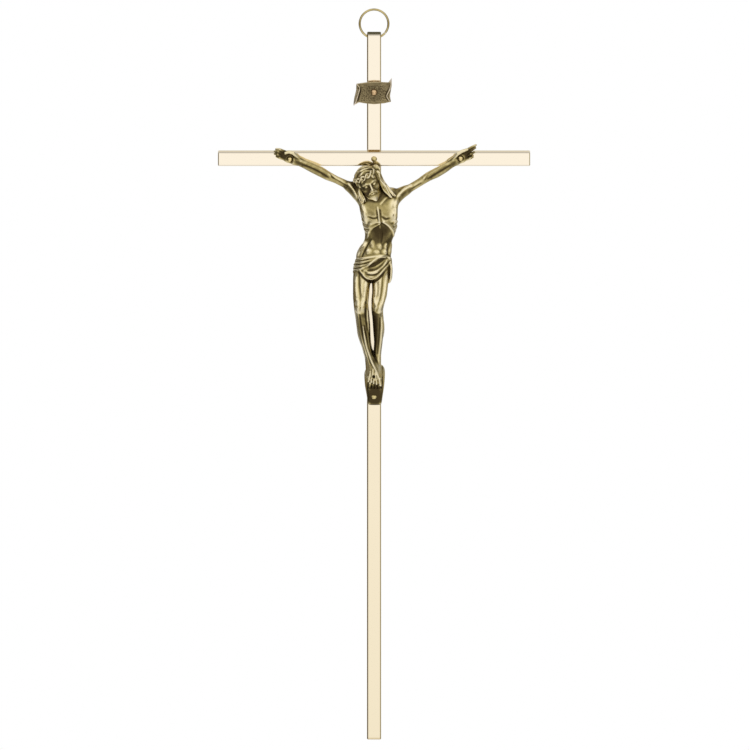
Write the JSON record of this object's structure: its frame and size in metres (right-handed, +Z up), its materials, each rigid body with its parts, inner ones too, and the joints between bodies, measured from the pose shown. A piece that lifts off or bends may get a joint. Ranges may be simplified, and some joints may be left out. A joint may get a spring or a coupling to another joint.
{
  "type": "crucifix",
  "caption": "Slim wall crucifix of square brass bars with a riveted cast figure and title scroll, hung by a loose wire ring through the top of the upright.",
  "frame": {"origin": "centre of the hanging ring's eye, where the nail sits", "axes": "+Z up along the upright, +Y into the wall, -Y is the front, +X is the viewer's right"},
  "size_m": [0.111, 0.0211, 0.2627],
  "materials": {
    "polished_brass": "polished",
    "antique_brass": "antiqued, dark in the recesses and rubbed bright on the high places",
    "rivet_brass": "polished"
  },
  "bodies": {
    "cross": {"upright_bar": "polished_brass", "crossbar": "polished_brass", "corpus": "antique_brass", "title_scroll": "antique_brass", "crossing_rivet": "rivet_brass", "title_rivet": "rivet_brass", "left_hand_rivet": "rivet_brass", "right_hand_rivet": "rivet_brass", "foot_rivet": "rivet_brass"},
    "ring": {"hanging_ring": "polished_brass"}
  },
  "joints": [
    {"name": "ring_swing", "type": "hinge", "parent": "cross", "child": "ring", "pos_m": [0, 0, -0.00477], "axis": [1, 0, 0], "range_deg": [-155, 155]}
  ]
}
